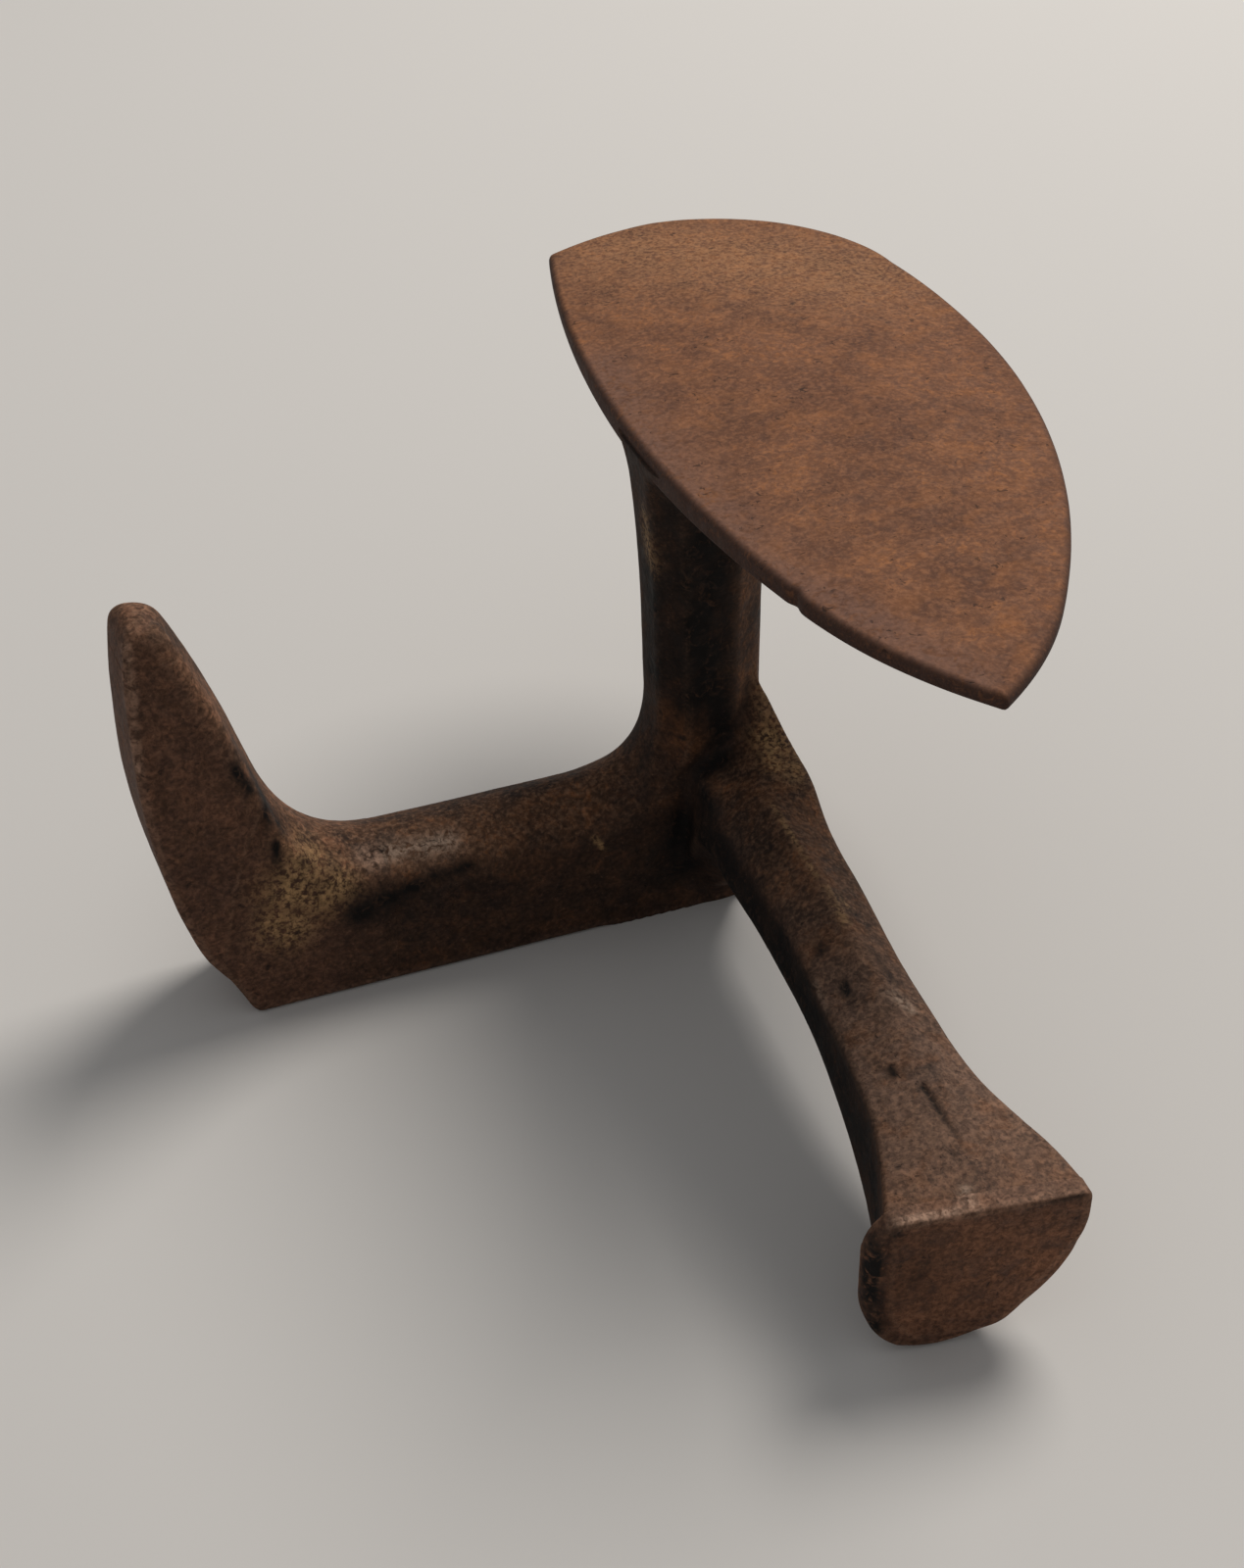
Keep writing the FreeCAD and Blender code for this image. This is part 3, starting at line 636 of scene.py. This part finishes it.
def heel_field(p):
    """Distance to the block: in the plane of its face a ridged top, a cut shoulder, an upright left
    side, a cut corner and an arc of 32 mm radius, with the edge round the face rounded, most of all
    low on the left."""
    z = p[..., 2]
    u, out = heel_place(p)
    outline = facets(u, z, [
        (HEEL_LEFT, 30.7), (-16.3, HEEL_EAVE), (1.0, HEEL_TOP), (HEEL_RIGHT, HEEL_EAVE), (HEEL_RIGHT, 0),
        (-9.0, 0), (-16.8, 3.6), (HEEL_LEFT, 11.0)], 2.4)
    bow = np.hypot(u - HEEL_BOW_CENTRE[0], z - HEEL_BOW_CENTRE[1]) - HEEL_BOW
    outline = round_max(outline, bow, 2.0)
    return round_max(outline, out, 1.0 + 3.0 * np.clip((-13 - u) / 6, 0, 1) * np.clip((34 - z) / 6, 0, 1))


def heel_and_leg(p):
    """Distance to the block with the leg that runs through it up to its face."""
    out = heel_place(p)[1]
    block = np.maximum(heel_field(p), -out - HEEL_BLOCK)
    return round_min(block, round_max(front_field(p), out, 1.0), 1.2)


def heel_piece(p):
    """The block, cut square at its back."""
    return np.maximum(heel_and_leg(p), -heel_place(p)[1] - HEEL_BLOCK)


# The spokes leave the block's middle through its back, its rim and its face.
HALF_BLOCK, HEEL_SPAN = 2.1, 20.0
face_steps = np.arange(0.6, HEEL_SPAN, 0.35)
rim_steps = np.linspace(-HALF_BLOCK, HALF_BLOCK, 22)
heel_tilt = np.concatenate([
    -np.arctan2(HALF_BLOCK, face_steps), np.arctan2(rim_steps, HEEL_SPAN),
    np.arctan2(HALF_BLOCK, face_steps[::-1])])
heel = cast_piece(
    "heel_last", heel_and_leg,
    shell(heel_piece, (HEEL_X + 0.3, -HEEL_REACH + HALF_BLOCK, 20.0),
          (math.cos(HEEL_YAW), -math.sin(HEEL_YAW), 0), (0, 0, 1), heel_tilt, 360, 45))
finish_piece(heel, "heel_last", last_iron)


# Sole plate: the pointed oval on which a whole sole is worked
# Part of the casting. Its top is slightly crowned and worn smooth, and its edge is rounded by use.

PLATE_CORNERS = ((-2.5, 98.5), (28, 108.3), (74, 63), (35.5, -90.5), (11.5, -114), (-9.5, -65))
PLATE_BOWS = (98, 46, 219, 90, 98, 365)
PLATE_LOW, PLATE_RIM, PLATE_CROWN, PLATE_BELLY = 118.0, 3.0, 2.6, 3.5
PLATE_MIDDLE = 30
NICK_AT, NICK_WIDTH, NICK_DEPTH = (-8.8, -69.0), 1.7, 0.8
ROUND_TOP, ROUND_LOW = 1.6, 1.0


def plate_outline(step):
    """The plate's edge as points a step apart: an arc from each corner to the next, bowed outwards
    with the given radius, the sharp tips softened by averaging neighbouring points."""
    arcs = []
    for start, end, radius in zip(PLATE_CORNERS, PLATE_CORNERS[1:] + PLATE_CORNERS[:1], PLATE_BOWS):
        start, end = np.array(start, float), np.array(end, float)
        chord = end - start
        length = np.hypot(*chord)
        inwards = np.array([chord[1], -chord[0]]) / length
        centre = (start + end) / 2 + inwards * math.sqrt(radius ** 2 - length ** 2 / 4)
        a0, a1 = (math.atan2(*(point - centre)[::-1]) for point in (start, end))
        sweep = (a0 - a1) % (2 * math.pi)
        angle = a0 - np.linspace(0, sweep, max(int(radius * sweep / step), 2), endpoint=False)
        arcs.append(centre + radius * np.stack([np.cos(angle), np.sin(angle)], axis=-1))
    edge = np.concatenate(arcs)
    return (np.roll(edge, 1, axis=0) + 2 * edge + np.roll(edge, -1, axis=0)) / 4


def plate_crown(x, y):
    """Height of the crown at a point in the plan: a bell over the plate's bowed middle line,
    1 at the middle and near 0 at the edge."""
    middle = PLATE_MIDDLE - 18 * (y / 110) ** 2
    away = ((x - middle) / 46) ** 2 + (y / 113) ** 2
    return (np.exp(-1.3 * away) - 0.25) / 0.75


edge = plate_outline(0.8)[::-1]
rim_turn = np.linspace(0, np.pi / 2, 8)
rim_bend, rim_flat = np.sin(rim_turn), 1 - np.cos(rim_turn)
inside = np.concatenate([np.linspace(0.008, 0.97, 94), np.linspace(0.975, 0.999, 6)])
under = np.linspace(0.01, 0.99, 36)
# Each row of the profile has its share of the outline, its inset from it, its drop below the top and
# its rise above the underside.
row_share = np.concatenate([under, rim_turn * 0 + 1, rim_turn * 0 + 1, inside[::-1]])
row_inset = np.concatenate([under * 0 + ROUND_LOW, ROUND_LOW * (1 - rim_bend), ROUND_TOP * rim_flat,
                            inside * 0 + ROUND_TOP])
row_drop = np.concatenate([under * 0, rim_turn * 0, ROUND_TOP * (1 - rim_bend), inside * 0])
row_rise = np.concatenate([under * 0, ROUND_LOW * rim_flat, rim_turn * 0, inside * 0])
is_top = np.arange(len(row_share)) >= len(under) + len(rim_turn)
row_centre = np.where(np.arange(len(row_share)) < len(under), PLATE_MIDDLE * row_share, PLATE_MIDDLE)
edge_run = np.roll(edge, -1, axis=0) - np.roll(edge, 1, axis=0)
edge_side = np.stack([edge_run[:, 1], -edge_run[:, 0]], axis=-1)
edge_out = sum(np.roll(edge_side, k, axis=0) for k in range(-4, 5))
edge_out /= np.hypot(*edge_out.T)[:, None]
nick = np.exp(-((edge - NICK_AT) ** 2).sum(-1) / NICK_WIDTH ** 2)
edge = edge - NICK_DEPTH * nick[:, None] * edge_out
share, inset, centre_x = row_share[:, None], row_inset[:, None], row_centre[:, None]
plate_x = centre_x + share * (edge[None, :, 0] - inset * edge_out[None, :, 0] - centre_x)
plate_y = share * (edge[None, :, 1] - inset * edge_out[None, :, 1])
top_z = PLATE_LOW + PLATE_RIM + PLATE_CROWN * plate_crown(plate_x, plate_y) - row_drop[:, None]
low_z = (PLATE_LOW + row_rise[:, None]
         - PLATE_BELLY * np.exp(-1.6 * ((plate_x / 36) ** 2 + (plate_y / 80) ** 2)))
plate_z = np.where(is_top[:, None], top_z, low_z)
plate_points = np.stack([plate_x, plate_y, plate_z], axis=-1).reshape(-1, 3)
plate_points = np.concatenate([
    plate_points, [[0, 0, plate_z[0].mean()]], [[PLATE_MIDDLE, 0, plate_z[-1].mean()]]])
plate_points[:, 2] -= 0.13 * (1 + waves(plate_points, (37, 19, 9), seed=5))
# Plate iron: the same iron, worn smooth by years of leather, so its rust is even, fine and lighter. Its rim
# and underside are painted dark as shade, and a band along the near-left edge of its top is painted as shade
# on worn metal.
plate_iron = rusted_iron(
    "plate_iron", deep="613F2D", brown="79513A", light="8F6244", orange="935F3A", weathered_and_lit_top="79513A",
    shade_and_soot="2A1E19", dust="A17550", worn_and_edge_shade="735344", rubbed_and_rim_shade="3C2B25", coarse=0.1, relief=0.2)
# The rim's sides are painted dark as shade.
RIM_SHADE = 0.95
row_rim_shade = np.concatenate([
    under * 0, rim_turn * 0 + RIM_SHADE, RIM_SHADE * np.cos(rim_turn), inside * 0])
plate_rim = np.append(np.repeat(row_rim_shade, len(edge)), [0, 0])
plate = iron_mesh("sole_plate", plate_points, ring_faces(len(row_share), len(edge)), {
    # The underside and the rim are painted dark as shade.
    "rubbed_and_rim_shade": plate_rim, "hollow": 0, "grimy": 0, "upward": np.clip(plate_points[:, 2] - 119.5, 0, 1),
    "shade_and_soot": np.clip(119.5 - plate_points[:, 2], 0, 1), "tar_soot_and_shade": 0, "weathered_and_lit": 0, "rusty": 0,
    # A paler patch over the far part of the top.
    "dust": marks(plate_points, [(20, 90, 122, 60, 60, 123, 26)]) * 0.5,
    # Painted shade on worn metal: a band along the near-left edge of the top, where it rounds down, and on
    # towards the tip.
    "worn_and_edge_shade": 0.8 * marks(plate_points, [
        (-12, -55, 121, -14, 0, 121, 8), (-14, 0, 121, -12, 35, 121, 8),
        (-12, -55, 121, 8, -106, 121, 6)])})
finish_piece(plate, "sole_plate", plate_iron)


# Floor, light and camera
# A pale matt floor, one large soft lamp from the right and behind, and an even pale sky.

floor_mesh = bpy.data.meshes.new("floor")
floor_mesh.from_pydata([(-6, -6, 0), (6, -6, 0), (6, 6, 0), (-6, 6, 0)], [], [(0, 1, 2, 3)])
floor = bpy.data.objects.new("floor", floor_mesh)
bpy.context.scene.collection.objects.link(floor)
pale = bpy.data.materials.new("pale_floor")
pale.use_nodes = True
pale_shader = pale.node_tree.nodes["Principled BSDF"]
pale_shader.inputs["Base Color"].default_value = linear("CFCBC6")
pale_shader.inputs["Roughness"].default_value = 0.9
floor_mesh.materials.append(pale)

lamp = bpy.data.objects.new("softbox", bpy.data.lights.new("softbox", "AREA"))
lamp.data.shape = "DISK"
lamp.data.size = 1.5
lamp.data.energy = 55.0
lamp.data.color = (1.0, 0.97, 0.93)
toward_lamp = np.array([0.62, 0.40, 1.0])
toward_lamp /= np.linalg.norm(toward_lamp)
lamp_right = np.cross([0, 0, 1], toward_lamp)
lamp_right /= np.linalg.norm(lamp_right)
lamp_up = np.cross(toward_lamp, lamp_right)
lamp.matrix_world = Matrix([
    [lamp_right[i], lamp_up[i], toward_lamp[i], 2.7 * toward_lamp[i]] for i in range(3)] + [[0, 0, 0, 1]])
bpy.context.scene.collection.objects.link(lamp)

world = bpy.data.worlds.new("pale_sky")
bpy.context.scene.world = world
world.use_nodes = True
sky = world.node_tree.nodes["Background"]
sky.inputs["Color"].default_value = linear("EEF0F3")
sky.inputs["Strength"].default_value = 0.36

# The camera stands where the photograph was taken from.
CAMERA_PLACE = (-0.1422, -0.3684, 0.3228)
CAMERA_RIGHT = (0.94294, -0.33196, -0.02567)
CAMERA_DOWN = (-0.21882, -0.55976, -0.79924)
CAMERA_AHEAD = (0.25095, 0.75926, -0.60046)
camera = bpy.data.objects.new("camera", bpy.data.cameras.new("camera"))
camera.matrix_world = Matrix([
    [CAMERA_RIGHT[i], -CAMERA_DOWN[i], -CAMERA_AHEAD[i], CAMERA_PLACE[i]] for i in range(3)]
    + [[0, 0, 0, 1]])
camera.data.sensor_width = 36.0
camera.data.lens = 47.607
bpy.context.scene.collection.objects.link(camera)
bpy.context.scene.camera = camera
bpy.context.scene.view_settings.view_transform = "Standard"
